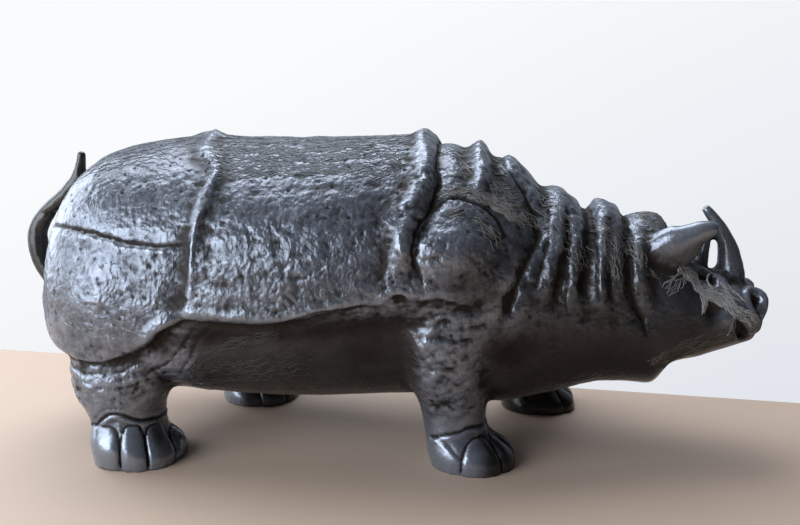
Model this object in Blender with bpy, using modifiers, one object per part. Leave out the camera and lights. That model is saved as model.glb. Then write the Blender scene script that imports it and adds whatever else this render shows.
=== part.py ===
"""A ceramic rhinoceros as one solid: a lofted trunk, legs, horns, ears and tail, fused and then carved."""

import math

import bmesh
import bpy
import numpy as np
from mathutils import Vector

# Driving dimensions, in metres
LENGTH = 0.539
BODY_WIDTH = 0.205
BACK_HEIGHT = 0.225
FRONT_HORN = 0.048
REAR_HORN = 0.032
EAR_LENGTH = 0.044
PLATE_LIP = 0.0042
FOLD_HEIGHT = 0.0055
GROOVE_DEPTH = 0.0060
TOE_GAP = 0.0026
EYE_DEPTH = 0.0034

# Surface resolution
FUSE_VOXEL = 0.0024
TRIANGLES = 9500
RING_POINTS = 44
TRUNK_RINGS = 140
LEG_RINGS = 40
HORN_RINGS = 30
TAIL_RINGS = 76
# Power of the cross-section's outline: 2 is an ellipse, more is squarer
TRUNK_POWER = 2.25
LEG_POWER = 2.3
# How the fused skin is softened
SOFTEN_SHARE = 0.5
SOFTEN_PASSES = 6

# The design grid is the figure at 539 mm long, 205 mm wide and 225 mm high, in millimetres
LONG = LENGTH / 539
WIDE = BODY_WIDTH / 205
TALL = BACK_HEIGHT / 225
GRID = np.array([LONG, WIDE, TALL])

# Lengths in millimetres at which the stations further down draw the horns and ears
DRAWN_FRONT_HORN = 48
DRAWN_REAR_HORN = 32
DRAWN_EAR = 44

# Carving, in millimetres: how far a plate's lip and the step under it fade out, and the edge's softness
LIP_REACH = 8
STEP_REACH = 11
EDGE_SOFTNESS = 1.6
# Shares of a carved line's length over which it fades in at its start and out at its end
START_FADE = 0.18
END_FADE = 0.25
# How fast side-view carving fades as the skin turns away from the side and the top
TURN_FADE = 1.6
# Clefts of a foot: where they run out from its middle, their top, the height they fade over, their width
FOOT_INNER = 14
FOOT_FADE = 6
FOOT_OUTER = 44
TOE_TOP = 28
TOE_FADE = 10
CLEFT_WIDTH = 2.4
# Skin lower than this counts as the sole, in metres
SOLE_SLACK = 0.0004

# Trunk, neck and head: x, top, bottom, half width, height of the widest line, step in below it
TRUNK = (
    (-229, 113, 83, 24, 98, 0),
    (-220, 131, 79, 39, 100, 0),
    (-211.5, 151, 72, 54, 100, 0),
    (-204, 177, 66, 67, 100, 0),
    (-192, 195, 56, 79, 96, 0),
    (-172, 207.8, 48, 88, 92, 0),
    (-145, 215, 42, 94, 90, 3),
    (-115, 218, 37, 97, 97, 8),
    (-80, 218.5, 33, 99, 106, 10),
    (-40, 218.5, 32, 99, 108, 10),
    (0, 219.2, 33, 98, 114, 12),
    (35, 220.2, 35, 95, 120, 12),
    (55, 219, 36, 92, 120, 8),
    (68, 216, 36, 90, 118, 2),
    (85, 213, 35, 86, 112, 0),
    (100, 209, 32, 80, 110, 0),
    (113, 203, 31, 74, 110, 0),
    (125, 191.8, 33, 69, 110, 0),
    (137, 184.6, 36, 65, 108, 0),
    (147, 182.6, 38.5, 62, 106.5, 0),
    (154, 178, 40, 60, 105, 0),
    (163, 173, 43, 58, 104, 0),
    (178, 173.5, 46.5, 53.5, 102, 0),
    (187, 171.5, 47, 50.5, 101, 0),
    (196, 167.5, 47, 48, 100, 0),
    (208, 166.5, 46, 44, 98, 0),
    (218, 165, 46, 41, 96, 0),
    (226, 154, 60, 39, 94, 0),
    (236, 141, 64.5, 37, 94, 0),
    (247, 132, 66.5, 35.5, 95, 0),
    (258, 127, 70.5, 33.5, 96, 0),
    (269, 124, 74.5, 31.5, 97, 0),
    (278, 120, 77.5, 28, 98, 0),
    (286, 115.5, 80.5, 21, 97, 0),
    (290.5, 108.5, 86.5, 11.5, 97, 0),
)

# Legs: height, centre x, centre y, half length, half width, for a leg whose foot stands at x 0, y 0
HIND_LEG = (
    (-8, 3.6, -3, 28, 28),
    (0, 3.6, -3, 29.8, 30.5),
    (6, 3.3, -3, 30.4, 31.5),
    (11, 1.5, -4, 29, 30.5),
    (16, -1.2, -5, 26.8, 28.5),
    (21, -2.8, -5, 25.4, 26.5),
    (27, -3.6, -3.5, 25, 24.8),
    (33, -5.2, -2, 26.4, 24.6),
    (39, -7, -1, 28.6, 26),
    (47, -8.2, 1, 32.4, 29),
    (60, -8, 3, 36.2, 31),
    (80, -5, 6, 40.5, 31),
    (112, -4, 16, 40, 26),
)
FORE_LEG = (
    (-8, 1.5, -3, 27, 26),
    (0, 1.3, -3, 29.2, 28.5),
    (6, 0.3, -3, 29.6, 29.5),
    (11, -2, -4, 28.2, 28),
    (14, -4.2, -4, 26.4, 26.5),
    (18, -7.4, -3.5, 23.6, 24.8),
    (22, -9, -2.5, 22.4, 24),
    (27, -10.6, -1, 21.8, 23.8),
    (33, -11.6, 0, 21.9, 23.8),
    (46, -13.3, 0, 24.4, 25),
    (62, -17, -3, 28.6, 30),
    (80, -19, -6, 31.5, 32),
    (100, -20.5, -8, 33.5, 31),
    (125, -21, -4, 34, 27),
)
# Plan angles of the clefts between the toes
HIND_TOES = (-88, -60, -34, 4, 44)
FORE_TOES = (-90, -50, -8, 40)
# Each leg: its table, foot centre x and y, side, and its clefts
LEGS = (
    (HIND_LEG, -145, -63, -1, HIND_TOES),
    (HIND_LEG, -91, 57, 1, HIND_TOES),
    (FORE_LEG, 90, -49, -1, FORE_TOES),
    (FORE_LEG, 140, 60, 1, FORE_TOES),
)

# Carved lines in the side view as (x, z) points, walked down or forwards: ahead or above is positive
PLATE_EDGES = (
    # skirt of the rump plate
    (((-232, 90), (-206, 82), (-182, 76), (-152, 75), (-135, 81), (-120, 91), (-106, 103), (-94, 112)),
     0.6, 0.6),
    # lower edge of the middle plate
    (((-128, 86), (-120, 91), (-106, 103), (-90, 109), (-60, 107), (-28, 109), (0, 116), (24, 121),
      (40, 126)), 0.75, 0.9),
    # lower edge of the shoulder plate
    (((34, 124), (43, 128), (53, 124), (67, 125), (83, 122), (96, 123), (106, 120)), 0.7, 0.6),
)
RIDGES = (
    # crest between the rump and the middle plate
    (((-99, 236), (-97, 214), (-84, 206), (-80, 198), (-83, 186), (-86, 173), (-88, 159), (-88, 139),
      (-90, 112)), 0.55, 3.2),
    # great fold behind the shoulder
    (((49, 240), (52, 222), (57, 208), (57, 194), (50, 181), (44, 170), (45, 152), (42, 138)), 1.0, 7.5),
    (((90, 232), (92, 210), (94, 198), (93, 184)), 1.0, 5.5),
    (((110, 226), (114, 205), (124, 190), (133, 172)), 0.8, 5.5),
    # upright folds of the neck
    (((133, 205), (143, 183), (140, 160), (130, 142), (121, 120)), 0.4, 4.0),
    (((146, 200), (150, 176), (146, 154), (138, 130), (134, 118)), 0.6, 4.0),
    (((156, 196), (159, 172), (157, 152), (155, 134), (153, 108)), 0.6, 4.5),
    (((178, 196), (178, 172), (176, 158), (174, 140), (174, 116), (177, 106)), 0.7, 4.5),
    (((189, 190), (186, 160), (184, 142), (186, 116)), 0.45, 4.0),
    (((200, 160), (200, 140), (204, 118)), 0.5, 4.5),
)
GROOVES = (
    # level crease across the rump
    (((-240, 160), (-212, 161), (-189, 162), (-164, 161), (-138, 157), (-110, 155), (-92, 155)), 0.22, 2.4),
    # hollow behind the middle plate's crest, low down
    (((-93, 172), (-95, 158), (-97, 144), (-98, 130), (-100, 114), (-104, 100)), 0.25, 9.0),
    # cleft in front of the great fold, round the back of the shoulder
    (((64, 236), (66, 212), (67, 196), (67, 186), (62, 175), (57, 163), (54, 149), (54, 136)), 0.6, 3.6),
    (((80, 232), (82, 210), (84, 196), (83, 186)), 0.3, 4.5),
    # cleft between shoulder and neck
    (((102, 236), (104, 206), (114, 193), (125, 180), (131, 166), (131, 152), (122, 132), (110, 106),
      (102, 76)), 0.5, 4.4),
    # arc over the shoulder boss
    (((66, 180), (76, 186), (89, 187), (101, 179), (108, 166), (111, 150)), 0.2, 2.8),
    (((133, 170), (135, 156), (129, 134), (124, 118)), 0.35, 3.0),
    (((151, 176), (151, 152), (147, 130), (144, 108)), 0.45, 3.2),
    (((165, 190), (167, 168), (167, 150), (164, 128), (163, 106)), 0.55, 3.6),
    (((181, 164), (180, 146), (180, 122), (182, 108)), 0.3, 2.6),
    (((195, 190), (194, 165), (193, 140), (196, 118), (203, 104), (207, 88)), 0.55, 3.8),
    (((208, 134), (211, 120), (214, 106)), 0.25, 3.4),
    # mouth
    (((296, 84), (286, 86), (276, 88), (268, 96)), 0.35, 2.4),
)
# Rounded masses, or soft hollows where the height is below 0, on both flanks: x, y, z, reach, height
MASSES = (
    (-158, 86, 118, 36, 4.0),
    (-150, 70, 190, 34, 1.5),
    (-30, 98, 150, 48, 3.1),
    (82, 84, 154, 21, 6.5),
    (54, 88, 160, 12, 3.0),
    (-112, 84, 60, 16, 2.5),
    (218, 40, 84, 22, 3.0),
    (236, 36, 132, 12, 2.5),
    (285, 19, 112, 9, 7.5),
    (283, 20, 92, 10, 1.4),
    (-102, 0, 222, 13, 4.5),
    (51, 0, 222, 13, 0.5),
    (212, 0, 166, 12, 2.0),
    (22, 84, 80, 24, -4.0),
    (120, 70, 80, 20, -5.0),
)
# Small hollows: x, y, z, reach
HOLLOWS = ((250, 25, 125, 4.6), (283, 25, 111, 4.0))


def smooth_table(table, count):
    """Rows between the given rows, on a curve through them all."""
    rows = np.array(table, float)
    steps = np.linspace(0, len(rows) - 1, count)
    slopes = np.gradient(rows, axis=0)
    low = np.minimum(steps.astype(int), len(rows) - 2)
    t = (steps - low)[:, None]
    a, b, m, n = rows[low], rows[low + 1], slopes[low], slopes[low + 1]
    at_points = (2 * t**3 - 3 * t**2 + 1) * a + (3 * t**2 - 2 * t**3) * b
    by_slopes = (t**3 - 2 * t**2 + t) * m + (t**3 - t**2) * n
    return at_points + by_slopes


def superellipse(power):
    """Cosine and sine columns of a unit outline, squarer as the power passes 2."""
    turn = np.linspace(0, 2 * math.pi, RING_POINTS, endpoint=False)
    bend = 2 / power
    across = np.sign(np.cos(turn)) * np.abs(np.cos(turn)) ** bend
    up = np.sign(np.sin(turn)) * np.abs(np.sin(turn)) ** bend
    return across, up


def loft(name, rings):
    """Closed tube through rings of design points, with a flat cap at each end."""
    bm = bmesh.new()
    loops = [[bm.verts.new(Vector(point * GRID)) for point in ring] for ring in rings]
    for first, second in zip(loops, loops[1:]):
        for k in range(RING_POINTS):
            after = (k + 1) % RING_POINTS
            bm.faces.new((first[k], first[after], second[after], second[k]))
    bm.faces.new(loops[0])
    bm.faces.new(loops[-1])
    bmesh.ops.recalc_face_normals(bm, faces=bm.faces)
    mesh = bpy.data.meshes.new(name)
    bm.to_mesh(mesh)
    bm.free()
    return mesh


def trunk():
    across, up = superellipse(TRUNK_POWER)
    rings = []
    for x, top, bottom, half, wide_at, step in smooth_table(TRUNK, TRUNK_RINGS):
        z = wide_at + np.where(up > 0, top - wide_at, wide_at - bottom) * up
        y = np.where(up < -0.02, half - step, half) * across
        rings.append(np.column_stack([np.full(RING_POINTS, x), y, z]))
    return loft("trunk", rings)


def leg(stations, x, y, side):
    across, up = superellipse(LEG_POWER)
    rings = []
    for z, cx, cy, long, wide in smooth_table(stations, LEG_RINGS):
        ring_x = x + cx + long * across
        ring_y = y - side * cy + wide * up
        rings.append(np.column_stack([ring_x, ring_y, np.full(RING_POINTS, z)]))
    return loft("leg", rings)


def sweep(name, stations, count=HORN_RINGS):
    """Tapered piece along a path: centre x, y, z, half depth in the side view, half thickness across."""
    rows = smooth_table(stations, count)
    ahead = np.gradient(rows[:, :3], axis=0)
    ahead /= np.linalg.norm(ahead, axis=1)[:, None]
    across, up = superellipse(2)
    rings = []
    for row, way in zip(rows, ahead):
        side = np.array([0, 1, 0]) - way[1] * way
        side /= np.linalg.norm(side)
        deep = np.cross(way, side)
        rings.append(row[:3] + row[3] * across[:, None] * deep + row[4] * up[:, None] * side)
    return loft(name, rings)


def reach(stations, size, drawn):
    """The stations with every offset from the first one scaled to the piece's own size."""
    rows = np.array(stations, float)
    rows[:, :3] = rows[0, :3] + (rows[:, :3] - rows[0, :3]) * size / (drawn * LONG)
    return rows


def horns():
    front = ((266, 0, 114, 15, 12), (269.5, 0, 127, 10.4, 10.5), (268.2, 0, 136.5, 8.2, 9),
             (266.4, 0, 145, 6.9, 8), (263, 0, 153, 5.8, 6.6), (258.8, 0, 160.6, 4.8, 5),
             (254, 0, 166.8, 4, 4), (250, 0, 171.5, 3.3, 3.3), (248.2, 0, 173.5, 2.7, 2.7))
    rear = ((245, 0, 122, 9, 9), (247.5, 0, 130, 6.4, 7), (249.2, 0, 136, 5, 5.8),
            (250.8, 0, 143, 3.8, 4.6), (251.6, 0, 149, 3, 3.6), (251.2, 0, 154, 2.2, 2.4))
    return [sweep("front_horn", reach(front, FRONT_HORN, DRAWN_FRONT_HORN)),
            sweep("rear_horn", reach(rear, REAR_HORN, DRAWN_REAR_HORN))]


def ears():
    near = ((205, -25, 141, 9.8, 8), (214, -28, 145.6, 13, 9), (223, -31, 149.2, 14.4, 8.5),
            (230, -33, 152.6, 12.4, 7.5), (235.5, -34.5, 157.3, 8.2, 6.2), (241, -35, 160.4, 6.5, 5.4),
            (246, -35, 162.7, 5.4, 4.8), (250, -35, 163.3, 4, 3.8))
    far = ((212, 26, 138, 10, 8), (219, 33, 137, 11, 8), (227, 38, 139, 9.5, 6.5),
           (235, 41, 143, 7.4, 5.5), (240, 43, 146, 5.6, 4.6), (243, 44, 148, 4, 3.6))
    return [sweep("near_ear", reach(near, EAR_LENGTH, DRAWN_EAR)),
            sweep("far_ear", reach(far, EAR_LENGTH, DRAWN_EAR))]


def tail():
    curled = ((-210, 0, 98, 10, 10), (-224, 0, 106, 9, 10), (-234, 0, 117, 8.2, 9),
              (-239.4, 0, 128, 7.6, 8.5), (-240.9, 0, 139, 7.7, 7.5), (-239.8, 0, 148.5, 7.3, 7),
              (-234.8, 0, 157, 6.8, 6.5), (-226.8, 0, 165.8, 6, 6), (-216, 0, 174.8, 5.8, 5.8),
              (-208.6, 0, 183.5, 5.5, 5.6), (-204.2, 0, 192, 4.8, 5), (-202.4, 0, 199.5, 3.9, 4),
              (-201.6, 0, 205, 3.4, 3.4), (-201.4, 0, 207.8, 2.5, 2.5))
    return sweep("tail", curled, TAIL_RINGS)


def fused(pieces):
    """All pieces as one closed skin."""
    bm = bmesh.new()
    for mesh in pieces:
        bm.from_mesh(mesh)
        bpy.data.meshes.remove(mesh)
    mesh = bpy.data.meshes.new("fused")
    bm.to_mesh(mesh)
    bm.free()
    return evaluated(mesh, fuse)


def fuse(body):
    remesh = body.modifiers.new("fuse", "REMESH")
    remesh.mode = "VOXEL"
    remesh.voxel_size = FUSE_VOXEL
    soften = body.modifiers.new("soften", "SMOOTH")
    soften.factor = SOFTEN_SHARE
    soften.iterations = SOFTEN_PASSES


def thin(body):
    thinner = body.modifiers.new("thin", "DECIMATE")
    thinner.ratio = TRIANGLES / sum(len(face.vertices) - 2 for face in body.data.polygons)


def evaluated(mesh, add_modifiers):
    """The mesh after the modifiers that the given function puts on it."""
    body = bpy.data.objects.new("working", mesh)
    bpy.context.scene.collection.objects.link(body)
    add_modifiers(body)
    skin = bpy.data.meshes.new_from_object(body.evaluated_get(bpy.context.evaluated_depsgraph_get()))
    bpy.data.objects.remove(body)
    return skin


def walk(points, x, z):
    """Signed distance from a carved line, positive above or ahead, and the share of the way along it."""
    line = smooth_table(points, 6 * len(points))
    best = np.full(len(x), np.inf)
    signed = np.zeros(len(x))
    share = np.zeros(len(x))
    for k, (start, end) in enumerate(zip(line, line[1:])):
        step = end - start
        dx, dz = x - start[0], z - start[1]
        along = np.clip((dx * step[0] + dz * step[1]) / (step @ step), 0, 1)
        gap = np.hypot(dx - along * step[0], dz - along * step[1])
        near = gap < best
        best[near] = gap[near]
        signed[near] = (np.sign(step[0] * dz - step[1] * dx) * gap)[near]
        share[near] = ((k + along) / (len(line) - 1))[near]
    return signed, share


def bump(distance, width):
    return np.exp(-((distance / width) ** 2))


def ends_fade(share):
    start = np.clip(share / START_FADE, 0, 1)
    end = np.clip((1 - share) / END_FADE, 0, 1)
    return (3 * start**2 - 2 * start**3) * (3 * end**2 - 2 * end**3)


def relief(x, y, z, outward):
    """How far each point of the skin moves out, in metres."""
    lift = np.zeros(len(x))
    for points, lip, drop in PLATE_EDGES:
        signed, share = walk(points, x, z)
        above = lip * PLATE_LIP * np.exp(-np.abs(signed) / LIP_REACH)
        below = -drop * PLATE_LIP * np.exp(-np.abs(signed) / STEP_REACH)
        blend = 0.5 + 0.5 * np.tanh(signed / EDGE_SOFTNESS)
        lift += (below + (above - below) * blend) * ends_fade(share)
    for points, height, width in RIDGES:
        signed, share = walk(points, x, z)
        lift += height * FOLD_HEIGHT * bump(signed, width) * ends_fade(share)
    for points, depth, width in GROOVES:
        signed, share = walk(points, x, z)
        lift -= depth * GROOVE_DEPTH * bump(signed, width) * ends_fade(share)
    lift *= outward
    for cx, cy, cz, size, height in MASSES:
        lift += height * LONG * bump(np.hypot(np.hypot(x - cx, np.abs(y) - cy), z - cz), size)
    for cx, cy, cz, size in HOLLOWS:
        lift -= EYE_DEPTH * bump(np.hypot(np.hypot(x - cx, np.abs(y) - cy), z - cz), size)
    for _, cx, cy, side, clefts in LEGS:
        turn = -np.degrees(np.arctan2(side * (y - cy), x - cx))
        away = np.hypot(x - cx, y - cy)
        round_foot = (away < FOOT_OUTER) * np.clip((away - FOOT_INNER) / FOOT_FADE, 0, 1)
        on_foot = round_foot * np.clip((TOE_TOP - z) / TOE_FADE, 0, 1)
        for cleft in clefts:
            off = away * np.radians(np.abs((turn - cleft + 180) % 360 - 180))
            lift -= TOE_GAP * bump(off, CLEFT_WIDTH) * on_foot
    return lift


def carve(mesh):
    """Moves the skin out and in for the armour plates, folds, clefts, toes, eyes and nostrils."""
    count = len(mesh.vertices)
    place = np.empty(count * 3)
    normal = np.empty(count * 3)
    mesh.vertices.foreach_get("co", place)
    mesh.vertices.foreach_get("normal", normal)
    place = place.reshape(-1, 3)
    normal = normal.reshape(-1, 3)
    x, y, z = (place / GRID).T
    outward = np.clip(TURN_FADE * np.maximum(normal[:, 1] * np.sign(y), normal[:, 2]), 0, 1)
    place += normal * relief(x, y, z, outward)[:, None]
    mesh.vertices.foreach_set("co", place.ravel())
    mesh.update()


def stand(mesh):
    """Cuts flat soles at floor level."""
    bm = bmesh.new()
    bm.from_mesh(mesh)
    everything = bm.verts[:] + bm.edges[:] + bm.faces[:]
    floor = {"plane_co": (0, 0, 0), "plane_no": (0, 0, 1), "clear_inner": True}
    cut = bmesh.ops.bisect_plane(bm, geom=everything, **floor)
    rim = [edge for edge in cut["geom_cut"] if isinstance(edge, bmesh.types.BMEdge)]
    bmesh.ops.edgeloop_fill(bm, edges=rim)
    bmesh.ops.triangulate(bm, faces=bm.faces)
    bm.to_mesh(mesh)
    bm.free()


def settle(mesh):
    """Puts the soles exactly on the floor and the middle of the outline over the origin."""
    for vertex in mesh.vertices:
        if vertex.co.z < SOLE_SLACK:
            vertex.co.z = 0
    for axis in (0, 1):
        reach_low = min(vertex.co[axis] for vertex in mesh.vertices)
        reach_high = max(vertex.co[axis] for vertex in mesh.vertices)
        for vertex in mesh.vertices:
            vertex.co[axis] -= (reach_low + reach_high) / 2


def glaze():
    material = bpy.data.materials.new("graphite_glaze")
    material.use_nodes = True
    shader = material.node_tree.nodes["Principled BSDF"]
    shader.inputs["Base Color"].default_value = (0.035, 0.034, 0.036, 1)
    shader.inputs["Roughness"].default_value = 0.42
    shader.inputs["Metallic"].default_value = 0.35
    return material


def main():
    for thing in list(bpy.data.objects):
        bpy.data.objects.remove(thing)
    legs = [leg(table, x, y, side) for table, x, y, side, _ in LEGS]
    skin = fused([trunk(), tail()] + horns() + ears() + legs)
    carve(skin)
    stand(skin)
    skin = evaluated(skin, thin)
    settle(skin)
    skin.materials.append(glaze())
    part = bpy.data.objects.new("rhinoceros", skin)
    group = bpy.data.collections.new("ceramic_rhinoceros")
    bpy.context.scene.collection.children.link(group)
    group.objects.link(part)


main()
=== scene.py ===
import math

import bmesh
import bpy
import numpy as np
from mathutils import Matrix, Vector, noise
from mathutils.bvhtree import BVHTree


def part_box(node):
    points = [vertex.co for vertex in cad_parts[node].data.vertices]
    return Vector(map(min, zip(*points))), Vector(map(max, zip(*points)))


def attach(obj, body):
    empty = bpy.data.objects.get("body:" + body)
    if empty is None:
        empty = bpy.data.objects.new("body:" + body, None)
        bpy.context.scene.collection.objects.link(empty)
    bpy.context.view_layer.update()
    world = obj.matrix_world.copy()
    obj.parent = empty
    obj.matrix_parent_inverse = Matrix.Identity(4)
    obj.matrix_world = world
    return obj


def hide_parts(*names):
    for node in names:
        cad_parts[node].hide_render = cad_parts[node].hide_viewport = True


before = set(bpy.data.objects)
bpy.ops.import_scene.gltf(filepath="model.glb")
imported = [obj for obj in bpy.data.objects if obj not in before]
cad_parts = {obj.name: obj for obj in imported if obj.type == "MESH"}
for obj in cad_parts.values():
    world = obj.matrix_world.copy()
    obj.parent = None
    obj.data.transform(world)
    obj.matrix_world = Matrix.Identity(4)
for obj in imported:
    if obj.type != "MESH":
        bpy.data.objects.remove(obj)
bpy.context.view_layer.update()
scene = bpy.context.scene
print("frame loaded")


def put(name, data):  # a new object in the scene
    made = bpy.data.objects.new(name, data)
    scene.collection.objects.link(made)
    return made


def aim(made, back):  # turns the back of a camera or a lamp that way
    made.rotation_mode = "QUATERNION"
    made.rotation_quaternion = back.to_track_quat("Z", "Y")


def weld(mesh, gap):  # joins points closer than gap
    bm = bmesh.new()
    bm.from_mesh(mesh)
    bmesh.ops.remove_doubles(bm, verts=bm.verts, dist=gap)
    bm.to_mesh(mesh)
    bm.free()


def applyModifiers(piece):
    graph = bpy.context.evaluated_depsgraph_get()
    made = bpy.data.meshes.new_from_object(piece.evaluated_get(graph))
    piece.modifiers.clear()
    piece.data = made


def countTriangles(mesh):
    return sum(len(face.vertices) - 2 for face in mesh.polygons)


# Camera: low three-quarter side view, close to the figure
cameraSettings = {"place": (0.0812, -0.640, 0.265), "turn": 6.0, "rise": 12.0, "lens": 40.5}


def addCamera(s):
    data = bpy.data.cameras.new("camera")
    data.lens = s["lens"]
    data.clip_start = 0.02
    eye = put("camera", data)
    turn, rise = math.radians(s["turn"]), math.radians(s["rise"])
    aim(eye, Vector((math.sin(turn) * math.cos(rise), -math.cos(turn) * math.cos(rise), math.sin(rise))))
    eye.location = s["place"]
    scene.camera = eye


addCamera(cameraSettings)


# Skin: a fine copy of the solid
skinSettings = {"voxel": 0.0013, "soften": 4, "relax": 26, "gapRounds": (40, 7),
                "triangles": 196000, "tailX": -248.1,
                "rumpBack": [(-229, 113), (-220, 131), (-211, 152), (-204, 177), (-192, 195), (-172, 208)]}


def copySolid(s):
    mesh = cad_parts["rhinoceros"].data.copy()
    weld(mesh, 1e-5)
    piece = put("glazed_rhinoceros", mesh)
    fine = piece.modifiers.new("fine", "REMESH")
    fine.mode = "VOXEL"
    fine.voxel_size = s["voxel"]
    soft = piece.modifiers.new("soft", "SMOOTH")
    soft.factor = 0.5
    soft.iterations = s["soften"]
    applyModifiers(piece)
    return piece


def points(mesh, what="co"):
    flat = np.empty(len(mesh.vertices) * 3)
    mesh.vertices.foreach_get(what, flat)
    return flat.reshape(-1, 3)


drawingShift = skinSettings["tailX"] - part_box("rhinoceros")[0].x * 1000  # part's x to the drawing's, in mm


def drawing(mesh):  # places in millimetres, with x counted as on the drawing of the side view
    x, y, z = points(mesh).T * 1000
    return x + drawingShift, y, z


def move(mesh, place):
    mesh.vertices.foreach_set("co", place.ravel())
    mesh.update()


def push(mesh, lift):  # moves the skin out by lift millimetres
    move(mesh, points(mesh) + points(mesh, "normal") * lift[:, None] / 1000)


def smooth(t):
    t = np.clip(t, 0, 1)
    return t * t * (3 - 2 * t)


def neighbourMean(mesh, values, rounds=1):
    ends = np.empty(len(mesh.edges) * 2, int)
    mesh.edges.foreach_get("vertices", ends)
    a, b = ends.reshape(-1, 2).T
    count = np.bincount(a, minlength=len(values)) + np.bincount(b, minlength=len(values))
    for _ in range(rounds):
        total = np.bincount(a, values[b], len(values)) + np.bincount(b, values[a], len(values))
        values = 0.5 * values + 0.5 * total / np.maximum(count, 1)
    return values


def levelled(mesh, place, rounds=1):  # places evened out with their neighbours
    return np.column_stack([neighbourMean(mesh, place[:, k], rounds) for k in range(3)])


def relax(mesh, share, rounds):  # evens out the skin where share is 1
    place = points(mesh)
    for _ in range(rounds):
        place += share[:, None] * (levelled(mesh, place) - place)
    move(mesh, place)


def rising(value, start, over):  # 0 up to start, 1 from start + over on
    return smooth((value - start) / over)


def falling(value, end, over):  # 1 up to end - over, 0 from end on
    return smooth((end - value) / over)


def tailShare(x, y, z):  # 1 on the tail where it stands clear of the rump's back
    line = np.array(skinSettings["rumpBack"], float)
    over = z - np.interp(x, line[:, 0], line[:, 1], left=95)
    return rising(over, 0.5, 2.5) * falling(np.abs(y), 13, 3) * falling(x, -186, 6)


def trunkShare(x, y, z):  # 1 on the trunk and upper legs, 0 on toes, face, horns, ears and tail
    ears = rising(x, 200, 8) * rising(z, 128, 8)
    return rising(z, 32, 8) * falling(x, 236, 14) * (1 - ears) * (1 - tailShare(x, y, z))


def regain(mesh, solid, s):  # gives back the thickness lost to smoothing, without the solid's facets
    normal = points(mesh, "normal")
    gap = np.array([(solid.find_nearest(spot)[0] - Vector(spot)).dot(Vector(out))
                    for spot, out in zip(points(mesh), normal)]) * 1000
    share = trunkShare(*drawing(mesh))
    trunk, slim = [neighbourMean(mesh, gap, rounds) for rounds in s["gapRounds"]]
    push(mesh, share * trunk + (1 - share) * slim)


solidTree = BVHTree.FromObject(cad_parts["rhinoceros"], bpy.context.evaluated_depsgraph_get())
rhino = copySolid(skinSettings)
relax(rhino.data, trunkShare(*drawing(rhino.data)), skinSettings["relax"])
regain(rhino.data, solidTree, skinSettings)
print("skin", len(rhino.data.vertices))


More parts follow.
